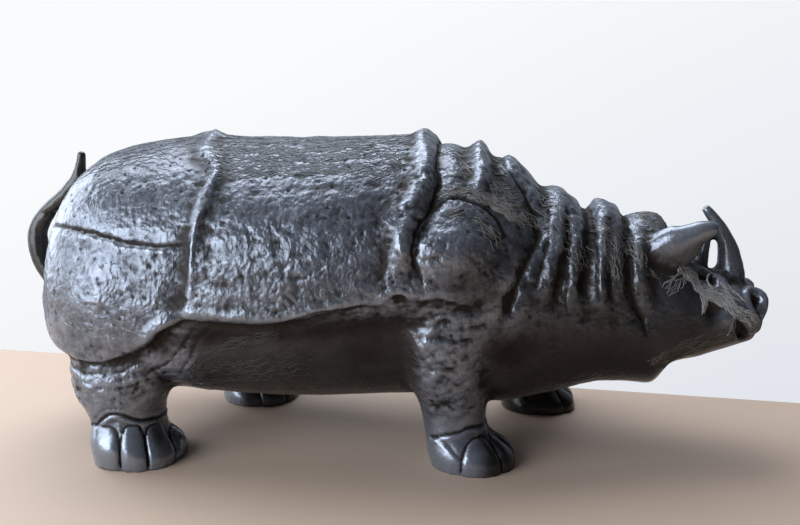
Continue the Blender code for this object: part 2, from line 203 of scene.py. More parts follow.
# Relief: lines of the side view as (x, z) in mm, walked down or forwards, so that ahead or above is positive
reliefSettings = {
    "plates": [  # points, lip height, drop below it
        [[(-232, 90), (-206, 81), (-182, 76), (-167, 74), (-152, 76), (-135, 82), (-122, 89), (-111, 98),
          (-104, 103)], 0.5, 0.5],
        [[(-116, 97), (-102, 104), (-91, 108), (-66, 106), (-47, 107), (-28, 109), (-10, 115), (8, 118),
          (20, 120), (33, 120), (38, 122)], 0.7, 0.9],
        [[(35, 121), (41, 127), (46, 128), (52, 124), (61, 124), (72, 126), (82, 121), (94, 118)], 1.0, 0.0],
    ],
    "ridges": [  # points, height, width behind, width ahead
        [[(-101, 236), (-97, 216), (-91, 212), (-83, 206), (-80, 198), (-83, 186), (-86, 173), (-88, 159),
          (-89, 148), (-89, 132), (-90, 112)], 1.0, 1.3, 1.9],
        [[(-240, 158), (-212, 158), (-189, 159), (-164, 159), (-138, 154), (-110, 152), (-90, 152)],
         0.8, 2.4, 1.0],
        [[(50, 238), (52, 225), (52, 214), (55, 203), (60, 196), (57, 191), (50, 183), (46, 176), (44, 168)],
         1.0, 4.0, 3.6],
        [[(60, 179), (54, 171), (48, 160), (46, 146), (43, 133)], 1.2, 5.0, 4.5],
        [[(91, 226), (92, 211), (93, 203), (94, 196), (92, 186)], 0.9, 3.2, 3.6],
        [[(110, 207), (115, 202), (124, 193), (129, 181), (135, 170)], 0.8, 3.0, 3.6],
        [[(139, 164), (136, 158), (133, 149), (129, 140), (124, 126), (120, 116)], 0.8, 3.4, 3.4],
        [[(144, 178), (143, 167), (145, 156), (142, 141), (139, 129), (135, 119)], 1.0, 3.6, 3.6],
        [[(155, 180), (155, 168), (157, 158), (154, 146), (156, 132), (153, 112)], 1.0, 4.0, 4.4],
        [[(175, 184), (176, 173), (176, 163), (174, 148), (173, 137), (175, 126), (176, 109)],
         1.0, 3.6, 4.2],
        [[(181, 150), (182, 139), (185, 127), (187, 114)], 0.8, 3.2, 3.0],
        [[(199, 154), (198, 146), (198, 136), (199, 118)], 0.9, 3.8, 3.8],
        [[(70, 188), (84, 187), (97, 184), (112, 179), (124, 170), (130, 160)], 0.7, 1.8, 1.2],
        [[(68, 176), (74, 179), (84, 179), (94, 174), (101, 166), (104, 156)], 0.6, 2.0, 1.4],
    ],
    "valleys": [  # points, depth, width behind, width ahead
        [[(58, 190), (46, 177), (38, 163), (35, 147), (31, 132)], 1.5, 7.0, 3.5],
        [[(-91, 166), (-92, 148), (-93, 132), (-95, 116), (-99, 104)], 0.9, 8.0, 2.0],
        [[(167, 184), (169, 166), (171, 148), (171, 134), (172, 116)], 0.6, 3.5, 2.0],
        [[(126, 168), (124, 146), (116, 122), (110, 104)], 1.2, 6.0, 4.5],
    ],
    "creases": [  # points, depth, width
        [[(-240, 161), (-212, 161), (-189, 162), (-164, 162), (-138, 157), (-110, 155), (-88, 156)],
         1.3, 0.8],
        [[(64, 232), (65, 213), (66, 203), (68, 194), (65, 185), (63, 177), (56, 170), (53, 158),
          (54, 149), (55, 140)], 1.8, 0.9],
        [[(104, 226), (107, 208), (114, 197), (122, 186), (127, 176), (131, 168), (133, 161), (131, 153),
          (124, 140), (117, 120), (115, 104)], 1.2, 0.9],
        [[(64, 177), (67, 180), (72, 184), (78, 185), (87, 183), (98, 178), (106, 170), (112, 157)],
         1.0, 0.7],
        [[(139, 176), (139, 167), (138, 155), (135, 140), (130, 123)], 1.0, 0.9],
        [[(152, 178), (152, 166), (153, 154), (151, 140), (151, 122), (152, 106)], 1.3, 0.9],
        [[(168, 186), (169, 158), (171, 147), (172, 134), (173, 112)], 1.0, 0.9],
        [[(180, 152), (180, 141), (181, 116)], 0.9, 0.8],
        [[(195, 172), (195, 151), (195, 135), (197, 116), (204, 101), (207, 90)], 1.2, 1.0],
        [[(36, 118), (52, 119), (66, 119), (82, 116), (95, 113)], 0.25, 1.0],
        [[(57, 168), (56, 158), (55, 148), (58, 139), (60, 133)], 1.4, 0.7],
        [[(-128, 66), (-112, 74), (-100, 88), (-88, 104)], 0.7, 1.2],
        [[(-108, 62), (-98, 76), (-90, 90), (-78, 103)], 0.6, 1.2],
        [[(-206, 76), (-190, 70), (-172, 66), (-150, 67)], 0.8, 1.0],
        [[(-168, 60), (-154, 56), (-138, 58), (-120, 64)], 0.6, 1.0],
        [[(50, 112), (58, 96), (70, 82), (84, 72)], 0.5, 1.2],
        [[(56, 84), (68, 74), (82, 64), (92, 58)], 0.5, 1.1],
        [[(62, 60), (74, 52), (86, 46), (94, 44)], 0.5, 1.0],
    ],
    "mounds": [  # x, y, z, reach, height
        [80, 88, 156, 19, 4.6], [62, 90, 156, 8, 1.0], [-158, 88, 118, 26, 0.8], [-170, 76, 178, 20, 0.6],
        [-30, 98, 158, 30, 0.5], [111, 6, 205, 8, 0.6], [146, 10, 182, 5, 1.0], [262, 33, 101, 6.5, 1.9],
        [240, 35, 168, 9, 2.0], [250, 35, 163, 5, 0.8], [227, 32, 163, 8, 1.7], [252, 0, 169, 7, 0.6],
        [-201, 0, 206, 6, 0.5], [38, 92, 125, 5, 1.1], [-156, 82, 64, 10, 1.0], [-124, 76, 88, 9, 0.8],
        [62, 82, 92, 9, 1.0], [76, 78, 60, 10, 0.8], [228, 40, 112, 14, 0.8],
    ],
    "hollows": [  # x, y, z, reach, depth
        [251, 34, 106, 5.0, 2.2], [-78, 88, 92, 8, 1.0], [100, 70, 60, 8, 1.0],
        [-96, 84, 84, 8, 1.4], [212, 26, 134, 7, 1.2],
    ],
    "lipFade": 4.0, "dropFades": (2.2, 9), "edge": 0.9,  # of the plates
    "wander": (9, 0.9, 0.6),  # size of the bends in a line, and how far they go ahead and up
    "uneven": (11, 0.75, 0.8),  # size of the swells along lips and ridges, their mean and their swing
    "knobs": (5.2, 0.6, 1.5),  # the same for the knobs
}


def walk(line, x, z, reach):  # signed distance to a line within reach of it, and the share of the way along
    curve = curved(line, 5)
    signed = np.full(len(x), 1e3)
    share = np.zeros(len(x))
    near = np.flatnonzero((x > curve[:, 0].min() - reach) & (x < curve[:, 0].max() + reach)
                          & (z > curve[:, 1].min() - reach) & (z < curve[:, 1].max() + reach))
    x, z = x[near], z[near]
    best = np.full(len(x), np.inf)
    side = np.zeros(len(x))
    part = np.zeros(len(x))
    for k, (start, end) in enumerate(zip(curve, curve[1:])):
        step = end - start
        dx, dz = x - start[0], z - start[1]
        along = np.clip((dx * step[0] + dz * step[1]) / (step @ step), 0, 1)
        gap = np.hypot(dx - along * step[0], dz - along * step[1])
        closer = gap < best
        best[closer] = gap[closer]
        side[closer] = np.sign(step[0] * dz - step[1] * dx)[closer]
        part[closer] = ((k + along) / (len(curve) - 1))[closer]
    signed[near] = side * best
    share[near] = part
    return signed, share


def curved(line, finer):  # a smooth line through the given points, as many times finer
    knots = np.array(line, float)
    steps = np.linspace(0, len(knots) - 1, finer * len(knots))
    slopes = np.gradient(knots, axis=0)
    low = np.minimum(steps.astype(int), len(knots) - 2)
    t = (steps - low)[:, None]
    return ((2 * t**3 - 3 * t**2 + 1) * knots[low] + (t**3 - 2 * t**2 + t) * slopes[low]
            + (3 * t**2 - 2 * t**3) * knots[low + 1] + (t**3 - t**2) * slopes[low + 1])


def tapered(share, start=0.12, end=0.2):  # 0 at both ends of a line, 1 between
    return smooth(share / start) * smooth((1 - share) / end)


def speckle(place, size, stretch=(1, 1, 1), seed=0):  # soft noise from -1 to 1, with lumps of that size in mm
    scaled = place / (size * np.array(stretch)) + seed * 17.3
    return np.array([noise.noise(p) for p in scaled])


def ridged(place, size, stretch=(1, 1, 1), seed=0):  # 1 along wandering crests, falling to 0
    return 1 - np.minimum(np.abs(speckle(place, size, stretch, seed)) * 2.6, 1)


def pebbled(place, size, seed=0):  # rounded pebbles side by side, 1 at their middles
    scaled = place / size + seed * 11.9
    near = np.array([noise.voronoi(p)[0][:2] for p in scaled])
    return np.clip((near[:, 1] - near[:, 0]) * 1.6, 0, 1)


def pored(place, size, seed=0):  # 1 at scattered small places, falling to 0 a short way off
    scaled = place / size + seed * 11.9
    return 1 - np.minimum(np.array([noise.voronoi(p)[0][0] for p in scaled]) * 1.5, 1)


def band(signed, behind, ahead):  # rounded profile across a line, 1 on it
    return np.exp(-((signed / np.where(signed > 0, ahead, behind)) ** 2))


def away(x, y, z, centre):  # distance to a place that both flanks have
    return np.sqrt((x - centre[0]) ** 2 + (np.abs(y) - centre[1]) ** 2 + (z - centre[2]) ** 2)


def varied(place, setting, seed):
    size, mean, swing = setting
    return mean + swing * speckle(place, size, seed=seed)


def facing(mesh):  # 1 where the skin looks sideways or up, 0 on the inner and under sides
    y = points(mesh)[:, 1]
    normal = points(mesh, "normal")
    return np.clip(1.6 * np.maximum(normal[:, 1] * np.sign(y), normal[:, 2]), 0, 1)


def foldLift(mesh, s):
    x, y, z = drawing(mesh)
    side = facing(mesh)
    lift = np.zeros(len(x))
    place = np.column_stack([x, y, z])
    bend, ahead, up = s["wander"]
    wander = speckle(place, bend, seed=3)
    uneven = varied(place, s["uneven"], 5)
    knobbly = varied(place, s["knobs"], 9)
    x, z = x + ahead * wander, z + up * wander
    soon, late = s["dropFades"]
    for line, lip, drop in s["plates"]:
        signed, share = walk(line, x, z, 30)
        above = lip * np.exp(-np.abs(signed) / s["lipFade"]) * (0.4 + 0.9 * uneven)
        below = -drop * (np.exp(-np.abs(signed) / soon) + 0.5 * np.exp(-np.abs(signed) / late))
        blend = 0.5 + 0.5 * np.tanh(signed / s["edge"])
        lift += (below + (above - below) * blend) * tapered(share, 0.06, 0.08) * side
    for line, height, behind, ahead in s["ridges"]:
        signed, share = walk(line, x, z, 12)
        lift += height * band(signed, behind, ahead) * tapered(share) * (0.4 * uneven + 0.9 * knobbly) * side
    for line, depth, behind, ahead in s["valleys"]:
        signed, share = walk(line, x, z, 22)
        lift -= depth * band(signed, behind, ahead) * tapered(share, 0.25, 0.2) * side
    for line, depth, width in s["creases"]:
        signed, share = walk(line, x, z, 8)
        lift -= depth * np.exp(-((np.abs(signed) / width) ** 1.2)) * tapered(share, 0.08, 0.09) * side
    for cx, cy, cz, size, height in s["mounds"]:
        lift += height * np.exp(-((away(x, y, z, (cx, cy, cz)) / size) ** 2))
    for cx, cy, cz, size, depth in s["hollows"]:
        lift -= depth * np.exp(-((away(x, y, z, (cx, cy, cz)) / size) ** 2))
    return lift


push(rhino.data, foldLift(rhino.data, reliefSettings))
print("folds carved")


# Feet: toes with rounded tops, parted by clefts
feetSettings = {
    "hind": {"feet": [(-145, -63, -1), (-91, 57, 1)],  # centre x, y and side
             "solid": [-88, -60, -34, 4, 44],  # the solid's own wide clefts, filled before the fine ones
             "toes": [(-150, -89, 29), (-89, -58, 30), (-58, -23, 28), (-23, 26, 18), (26, 66, 18)],
             "lean": 9, "arch": 4.2},
    "fore": {"feet": [(90, -49, -1), (140, 60, 1)],
             "solid": [-90, -50, -8, 40],
             "toes": [(-99, -47, 24), (-47, -2, 24), (-2, 40, 22)],
             "lean": 0, "arch": 3.4},
    "reach": 46, "radius": 30, "fill": 2.1, "fillWidth": 2.5, "fillTop": 28, "softTop": 36, "soften": 9,
    "swell": 1.7, "cleft": 1.5, "cleftWidth": 0.75, "overArch": 0.45, "atSole": 0.15, "roll": 0.4,
    "ankles": [  # right feet's creases: points, depth, width, and how far ahead the left foot repeats them
        [[(-168, 25), (-157, 35), (-151, 38), (-143, 37), (-134, 33), (-125, 31), (-117, 25)], 1.5, 0.9, 54],
        [[(-166, 32), (-158, 40), (-150, 42.5), (-141, 42)], 0.5, 0.8, 54],
        [[(60, 21), (73, 26), (83, 28.5), (91, 31), (106, 29)], 1.3, 0.9, 50],
        [[(62, 24), (73, 21), (80, 16), (88, 9)], 0.8, 1.5, 50],
    ],
}


def aroundFoot(x, y, foot, reach):  # turn round the foot's middle, distance from it, and 1 on the foot
    cx, cy, side = foot
    turn = -np.degrees(np.arctan2(side * (y - cy), x - cx))
    out = np.hypot(x - cx, y - cy)
    return turn, out, (out < reach) * rising(out, 12, 6)


def fillClefts(mesh, s):
    x, y, z = drawing(mesh)
    lift = np.zeros(len(x))
    for kind in ("hind", "fore"):
        for foot in s[kind]["feet"]:
            turn, out, onFoot = aroundFoot(x, y, foot, s["reach"])
            for cleft in s[kind]["solid"]:
                off = out * np.radians(np.abs((turn - cleft + 180) % 360 - 180))
                below = np.clip((s["fillTop"] - z) / 10, 0, 1)
                lift += s["fill"] * np.exp(-((off / s["fillWidth"]) ** 2)) * onFoot * below
    push(mesh, lift)
    relax(mesh, falling(z, s["softTop"], 6) * rising(z, 1, 2), s["soften"])


def toeLift(mesh, s):
    x, y, z = drawing(mesh)
    lift = np.zeros(len(x))
    for kind in ("hind", "fore"):
        for foot in s[kind]["feet"]:
            turn, _, onFoot = aroundFoot(x, y, foot, s["reach"])
            for first, last, top in s[kind]["toes"]:
                middle, half = (first + last) / 2, (last - first) / 2
                ahead = turn - s[kind]["lean"] * z / 25 * rising(turn, -55, 35)
                across = np.abs((ahead - middle + 180) % 360 - 180) / half
                power = s[kind]["arch"]
                side, up = across**power, (np.maximum(z, 0) / top) ** power
                edge = np.maximum(side + up, 1e-6) ** (1 / power)  # 1 on the arch round the toe
                reach = (side * np.radians(half) * s["radius"] + up * top) / np.maximum(side + up, 1e-6)
                lift += s["swell"] * np.clip(1 - edge**3, 0, 1) * onFoot
                cleft = np.exp(-(((edge - 1) * reach / s["cleftWidth"]) ** 2)) * onFoot
                overArch = s["overArch"] + (1 - s["overArch"]) * falling(up, 0.95, 0.5)
                atSole = s["atSole"] + (1 - s["atSole"]) * rising(z, 0.5, 3)
                lift -= s["cleft"] * cleft * overArch * atSole
    for line, depth, width, ahead in s["ankles"]:
        for shift, flank in ((0, y < 0), (ahead, y > 0)):
            signed, share = walk([(px + shift, pz) for px, pz in line], x, z, 6)
            lift -= depth * np.exp(-((np.abs(signed) / width) ** 1.3)) * tapered(share) * flank
            lift += s["roll"] * depth * np.exp(-(((signed + 2.2) / 1.3) ** 2)) * tapered(share) * flank
    return lift


fillClefts(rhino.data, feetSettings)
push(rhino.data, toeLift(rhino.data, feetSettings))
print("toes parted")


# Face: eyes, ringed nostrils, lip, mouth, and a matted band of clay from eye to lip
faceSettings = {
    "nostril": (283.6, 21.4, 112), "tall": 0.68, "nostrilRim": 8.0, "rimThick": 2.2, "rimHeight": 1.2,
    "nostrilHole": 5.9, "holeDepth": 6.0,
    "cuts": [  # points, depth, width
        [[(243.5, 129), (246, 127.6), (249, 126.6), (252.5, 126)], 3.6, 2.0],
        [[(251.5, 125.6), (254, 124), (256.5, 122.4)], 3.4, 2.3],
        [[(253, 120.4), (257, 119), (261, 117.6)], 1.6, 0.9],
        [[(283, 108), (283.4, 105), (284, 102), (284.6, 99)], 2.2, 1.2],
        [[(267, 102), (270.5, 97), (273.5, 91), (276, 84)], 4.2, 3.4],
    ],
    "strap": [(238, 137.5), (242, 134.5), (246, 131.8), (250, 130), (255, 128), (261, 124.5), (266, 121)],
    "strapLift": 1.3, "strapWidth": 1.7,
    "band": [(227, 137), (233, 133), (240, 126.5), (246, 119.8), (254, 116.6), (261, 112.2), (268, 105.5),
             (276, 101.5), (283, 95)],
    "bandWidth": [1.2, 3.0, 4.2, 4.0, 3.2, 4.4, 3.8, 3.4, 4.4], "bandLift": 0.3,
    "lip": (286, 24, 95.5), "lipReach": 8.0, "lipLift": 0.3,
    # lines of painted shade along the mouth and in the hollow under the eye, and their width
    "shadeLines": [[(267, 103), (270.5, 97), (273.5, 91), (276, 83)], [(247, 112), (250, 107), (253, 102)]],
    "shadeLineWidth": 3.2,
    "kept": [(247.8, 127.2, 2.8), (254, 124, 2.7), (284, 112, 6.5), (273, 92.5, 3.6)],  # bare: x, z, reach
}


def bandShare(x, z, s):  # 1 on the matted band of the face, 0 away from it
    signed, share = walk(s["band"], x, z, 14)
    half = np.interp(share, np.linspace(0, 1, len(s["bandWidth"])), s["bandWidth"])
    across = smooth((1.15 * half - np.abs(signed)) / (0.5 * half))
    return across * tapered(share, 0.1, 0.02) * (np.abs(signed) < 20)


def lipShare(x, y, z, s):  # 1 on the worked corner of the upper lip
    return np.exp(-((away(x, y, z, s["lip"]) / s["lipReach"]) ** 4))


def onCheek(y):  # 0 along the middle of the face, 1 on its sides
    return rising(np.abs(y), 6, 6)


def faceLift(mesh, s):
    x, y, z = drawing(mesh)
    lift = np.zeros(len(x))
    onSide = onCheek(y)
    lift += s["bandLift"] * bandShare(x, z, s) * onSide
    out = away(x, y, (z - s["nostril"][2]) * s["tall"] + s["nostril"][2], s["nostril"])
    lift += s["rimHeight"] * np.exp(-(((out - s["nostrilRim"]) / s["rimThick"]) ** 2))
    lift -= s["holeDepth"] * np.exp(-((out / s["nostrilHole"]) ** 5))
    signed, share = walk(s["strap"], x, z, 8)
    lift += s["strapLift"] * np.exp(-((np.abs(signed) / s["strapWidth"]) ** 3)) * tapered(share) * onSide
    for line, depth, width in s["cuts"]:
        signed, share = walk(line, x, z, 8)
        lift -= depth * np.exp(-((np.abs(signed) / width) ** 3)) * tapered(share, 0.2, 0.2) * onSide
    lift += s["lipLift"] * lipShare(x, y, z, s)
    return lift


push(rhino.data, faceLift(rhino.data, faceSettings))
print("face cut")


# Hide: marks of the hand-worked clay, fainter on feet, ears, horns, tail and belly
hideSettings = {
    # size across and height or depth, in mm
    "lumps": (13, 0.5), "pebbles": (4.4, 0.14), "wrinkles": (9, 0.26), "dents": (7.5, 0.7),
    "fine": (2.8, 0.10), "pores": (7.5, 0.5), "crumple": (6.2, 1.1), "kneaded": (3.3, 0.55),
    "swells": (17, 0.25),
    # strokes: depth, size of the steep and of the level ones, and how they slant and bend
    "strokes": 0.34, "steep": 4.2, "level": 4.8, "slant": (0.5, 0.3, 3.0),
    "crumpled": [  # x, y, z, reach
        (62, 88, 160, 13), (66, 88, 148, 10), (72, 84, 100, 22), (68, 80, 74, 20), (74, 76, 50, 16),
        (-170, 80, 66, 20), (-176, 76, 48, 13), (-136, 86, 60, 14), (42, 92, 126, 7), (62, 90, 126, 8),
        (58, 70, 202, 10), (51, 84, 180, 9), (150, 60, 140, 16), (120, 66, 186, 12),
    ],
}


def hideShare(x, y, z):  # where the hide is rough
    body = rising(z, 30, 14)
    horns = 1 - rising(x, 234, 6) * rising(z, 128, 8)
    ears = 1 - rising(x, 208, 8) * rising(np.abs(y), 24, 6) * rising(z, 140, 8)
    tail = 1 - tailShare(x, y, z)
    belly = 1 - 0.7 * falling(z, 112, 16) * rising(x, -96, 14) * falling(x, 56, 14)
    throat = 1 - 0.6 * falling(z, 102, 18) * rising(x, 96, 12)
    cheek = 1 - 0.65 * rising(x, 206, 12) * falling(z, 128, 10)
    return body * horns * ears * tail * belly * throat * cheek


def hideLift(mesh, s):
    x, y, z = drawing(mesh)
    place = np.column_stack([x, y, z])
    rough = hideShare(x, y, z)
    patches = smooth(0.6 + 1.2 * speckle(place, 34, seed=8))
    busy = 0.35 + 0.9 * smooth(0.5 + 1.1 * speckle(place, 19, (1.4, 1, 0.9), seed=18))
    ahead, down, bend = s["slant"]
    bent = bend * speckle(place, 15, seed=19)
    slanted = np.column_stack([x + ahead * z + bent, y, z - down * x + bent])
    steep = np.maximum(speckle(slanted, s["steep"], (0.9, 1, 2.8), seed=12) - 0.1, 0)
    level = np.maximum(speckle(slanted, s["level"], (3.0, 1, 1.0), seed=13) - 0.1, 0)
    top = rising(z, 172, 26)
    rump = falling(x, -92, 8)
    strokes = s["strokes"] * 1.7 * (steep * (1 - 0.75 * top) + level * (0.35 + 0.5 * top))
    size, height = s["lumps"]
    lift = height * speckle(place, size, seed=1)
    size, height = s["pebbles"]
    lift += height * (pebbled(place, size, seed=2) - 0.5) * patches
    lift -= strokes * busy * (1 - 0.35 * rump)
    size, height = s["wrinkles"]
    lift += height * (ridged(place, size, (1.5, 1, 0.8), seed=4) - 0.4) * busy
    size, depth = s["dents"]
    dents = np.maximum(speckle(place, size, (1.2, 1, 0.9), seed=20) - 0.05, 0)
    lift -= depth * dents * (1 - 0.5 * rump)
    size, height = s["fine"]
    lift += height * speckle(place, size, seed=7)
    size, depth = s["pores"]
    lift -= depth * smooth((pored(place, size, seed=14) - 0.62) / 0.25)
    near = np.zeros(len(x))
    for cx, cy, cz, reach in s["crumpled"]:
        near = np.maximum(near, np.exp(-((away(x, y, z, (cx, cy, cz)) / reach) ** 4)))
    size, height = s["crumple"]
    lift += height * near * speckle(slanted, size, (1.9, 1, 0.85), seed=21)
    size, height = s["kneaded"]
    lift += height * near * speckle(slanted, size, (1.5, 1, 0.9), seed=22)
    lift *= rough
    size, height = s["swells"]
    lift += height * speckle(place, size, seed=6)
    return lift


push(rhino.data, hideLift(rhino.data, hideSettings))
print("hide worked")


def thin(piece, triangles):
    fewer = piece.modifiers.new("fewer", "DECIMATE")
    fewer.ratio = min(1, triangles / countTriangles(piece.data))
    applyModifiers(piece)


def keepInside(mesh, box, floor=0.0006):  # flat soles on the floor, and nothing past the solid's own box
    place = points(mesh)
    place[:, 2] = np.where(place[:, 2] < floor, 0, place[:, 2])
    move(mesh, np.clip(place, box[0], box[1]))


solidBox = [np.array(corner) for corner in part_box("rhinoceros")]
thin(rhino, skinSettings["triangles"])
keepInside(rhino.data, solidBox)
rhino.data.shade_smooth()
print("triangles", countTriangles(rhino.data))


# Strands: fine rolled threads of clay on the hide, in runs along lines of the side view or the top view
strandSettings = {
    "face_strands": [  # line, spread at both ends, how many, shortest and longest, radius, sideways curl
        {"line": [(227, 137), (233, 133), (240, 126.5), (246, 119.8), (254, 116.6), (261, 112.2),
                  (268, 105.5), (276, 101.5), (284, 94)],
         "spread": (3.4, 4.2), "count": 105, "length": (9, 26), "radius": 0.5, "curl": 1.2},
        {"line": [(245, 119), (246, 112), (245, 104)],
         "spread": (2.6, 1.0), "count": 26, "length": (6, 13), "radius": 0.38, "curl": 0.6},
        {"line": [(268, 104), (267, 98), (265, 92), (262, 86)],
         "spread": (1.4, 2.0), "count": 16, "length": (6, 13), "radius": 0.36, "curl": 0.6},
        {"line": [(258, 124), (256.8, 126.8), (254, 128), (251.2, 126.8), (250, 124), (251.2, 121.2),
                  (254, 120), (256.8, 121.2), (258, 124)],
         "spread": (0.5, 0.5), "count": 14, "length": (17, 24), "radius": 0.5, "curl": 0.1},
        {"line": [(258, 122), (263, 119), (269, 115), (276, 110)],
         "spread": (2.5, 2.5), "count": 18, "length": (7, 16), "radius": 0.38, "curl": 0.9},
        {"line": [(218, 120), (225, 126), (231, 130), (238, 128)],
         "spread": (7.0, 3.0), "count": 26, "length": (7, 14), "radius": 0.34, "curl": 1.2},
    ],
    "jaw_strands": [
        {"line": [(212, 66), (222, 73), (234, 79), (246, 84), (258, 88), (268, 92)],
         "spread": (8.0, 5.0), "count": 90, "length": (10, 30), "radius": 0.34, "curl": 1.1},
    ],
    "belly_strands": [
        {"line": [(-98, 62), (-84, 78), (-70, 88), (-52, 94), (-30, 98)],
         "spread": (6.0, 4.0), "count": 60, "length": (12, 34), "radius": 0.36, "curl": 0.9},
        {"line": [(-106, 60), (-88, 62), (-66, 66), (-40, 72), (-14, 78)],
         "spread": (9.0, 10.0), "count": 60, "length": (12, 34), "radius": 0.34, "curl": 1.0},
    ],
    "shoulder_strands": [
        {"line": [(66, 186), (78, 189), (90, 187), (102, 182), (114, 175), (126, 167)],
         "spread": (2.0, 4.0), "count": 44, "length": (14, 34), "radius": 0.48, "curl": 1.0},
        {"line": [(98, 190), (106, 184), (116, 178), (126, 171), (134, 162)],
         "spread": (7.0, 7.0), "count": 36, "length": (10, 26), "radius": 0.46, "curl": 1.2},
        {"line": [(90, 205), (98, 203), (106, 200), (114, 195)],
         "spread": (6.0, 5.0), "count": 26, "length": (9, 20), "radius": 0.44, "curl": 0.8},
        {"line": [(64, 206), (72, 207), (82, 205), (91, 202)],
         "spread": (7.0, 7.0), "count": 20, "length": (9, 20), "radius": 0.36, "curl": 1.0},
        {"line": [(72, 176), (84, 177), (94, 172), (102, 164), (108, 154)],
         "spread": (3.0, 5.0), "count": 22, "length": (8, 20), "radius": 0.38, "curl": 0.9},
    ],
    "neck_strands": [
        {"line": [(132, 172), (142, 170), (152, 160), (160, 148), (168, 140)],
         "spread": (9.0, 7.0), "count": 50, "length": (8, 20), "radius": 0.38, "curl": 1.4},
        {"line": [(168, 168), (180, 166), (192, 158), (202, 148), (208, 138)],
         "spread": (8.0, 8.0), "count": 130, "length": (8, 20), "radius": 0.40, "curl": 1.6},
        {"line": [(178, 160), (182, 150), (184, 140), (184, 128)],
         "spread": (6.0, 5.0), "count": 40, "length": (8, 18), "radius": 0.38, "curl": 1.4},
        {"line": [(196, 158), (206, 150), (212, 140), (216, 130)],
         "spread": (7.0, 5.0), "count": 50, "length": (8, 18), "radius": 0.38, "curl": 1.4},
        {"line": [(204, 160), (212, 162), (220, 156), (226, 148)],
         "spread": (7.0, 5.0), "count": 70, "length": (10, 22), "radius": 0.40, "curl": 0.7},
        {"line": [(202, 0), (212, 0), (222, 0), (232, 0)], "top": True,
         "spread": (20.0, 12.0), "count": 90, "length": (10, 22), "radius": 0.40, "curl": 0.7},
    ],
    "back_strands": [
        {"line": [(-90, 0), (-60, 0), (-20, 0), (20, 0), (48, 0)], "top": True,
         "spread": (62.0, 60.0), "count": 300, "length": (14, 44), "radius": 0.40, "curl": 0.8},
        {"line": [(-84, 206), (-50, 205), (-10, 206), (30, 207), (46, 206)],
         "spread": (9.0, 9.0), "count": 190, "length": (12, 38), "radius": 0.36, "curl": 0.9},
        {"line": [(-190, 0), (-160, 0), (-130, 0), (-104, 0)], "top": True,
         "spread": (40.0, 60.0), "count": 110, "length": (12, 36), "radius": 0.36, "curl": 0.9},
    ],
}


threadSettings = {
    "spacing": 2.4, "overhang": 0.4, "drift": 0.6, "widest": 1.2, "wave": (7, 15), "longestStep": 0.007,
    "above": 0.00025,  # metres from the skin to the strand's middle, for each millimetre of radius
    "leftShare": 0.7,  # of the right flank's strands
    "thickness": (0.7, 1.25), "tip": 0.35,
    "ear": (206, 0.024, 0.138),  # x on the drawing, y and z where the ears begin
}
fullTurn = 6.28


def landing(spot, fromAbove, side, tree):  # where a spot of the side view or the top view falls on the skin
    ahead = (spot[0] - drawingShift) / 1000
    if fromAbove:
        return tree.ray_cast(Vector((ahead, spot[1] / 1000, 0.4)), Vector((0, 0, -1)))
    return tree.ray_cast(Vector((ahead, 0.3 * side, spot[1] / 1000)), Vector((0, -side, 0)))


def staysBare(place, s):  # whether a strand would lie on an ear or over the eye, a nostril or the mouth
    earX, earY, earZ = s["ear"]
    return (any(p.x * 1000 + drawingShift > earX and abs(p.y) > earY and p.z > earZ for p in place)
            or any(math.hypot(p.x * 1000 + drawingShift - x, p.z * 1000 - z) < reach
                   for p in place for x, z, reach in faceSettings["kept"]))


def strandPath(run, line, dice, tree, side, s):  # places along one strand, on the skin
    total = np.linalg.norm(np.diff(line, axis=0), axis=1).sum()
    long = dice.uniform(*run["length"])
    start = dice.uniform(-s["overhang"] * long / total, 1 - (1 - s["overhang"]) * long / total)
    shares = np.linspace(start, start + long / total, max(5, int(long / s["spacing"])))
    across = dice.uniform(-1, 1)
    drift = dice.uniform(-s["drift"], s["drift"])
    wave, phase = dice.uniform(*s["wave"]), dice.uniform(0, fullTurn)
    ways = np.gradient(line, axis=0)
    ways /= np.linalg.norm(ways, axis=1)[:, None]
    place = []
    for share in shares:
        if not 0 <= share <= 1:
            continue
        at = share * (len(line) - 1)
        low = min(int(at), len(line) - 2)
        middle = line[low] + (at - low) * (line[low + 1] - line[low])
        spread = run["spread"][0] + share * (run["spread"][1] - run["spread"][0])
        off = spread * np.clip(across + drift * (share - shares[0]), -s["widest"], s["widest"])
        off += run["curl"] * math.sin(share * total / wave * fullTurn + phase)
        spot = middle + off * np.array([-ways[low][1], ways[low][0]])
        found, normal = landing(spot, run.get("top"), side, tree)[:2]
        if found is not None:
            place.append(found + normal * run["radius"] * s["above"])
    steps = [(b - a).length for a, b in zip(place, place[1:])]
    whole = len(place) > 3 and max(steps) < s["longestStep"]
    return place if whole and not staysBare(place, s) else []


def flanks(run, s):  # side of the body and how many strands it has
    if run.get("top"):
        return [(-1, run["count"])]
    return [(-1, run["count"]), (1, int(run["count"] * s["leftShare"]))]


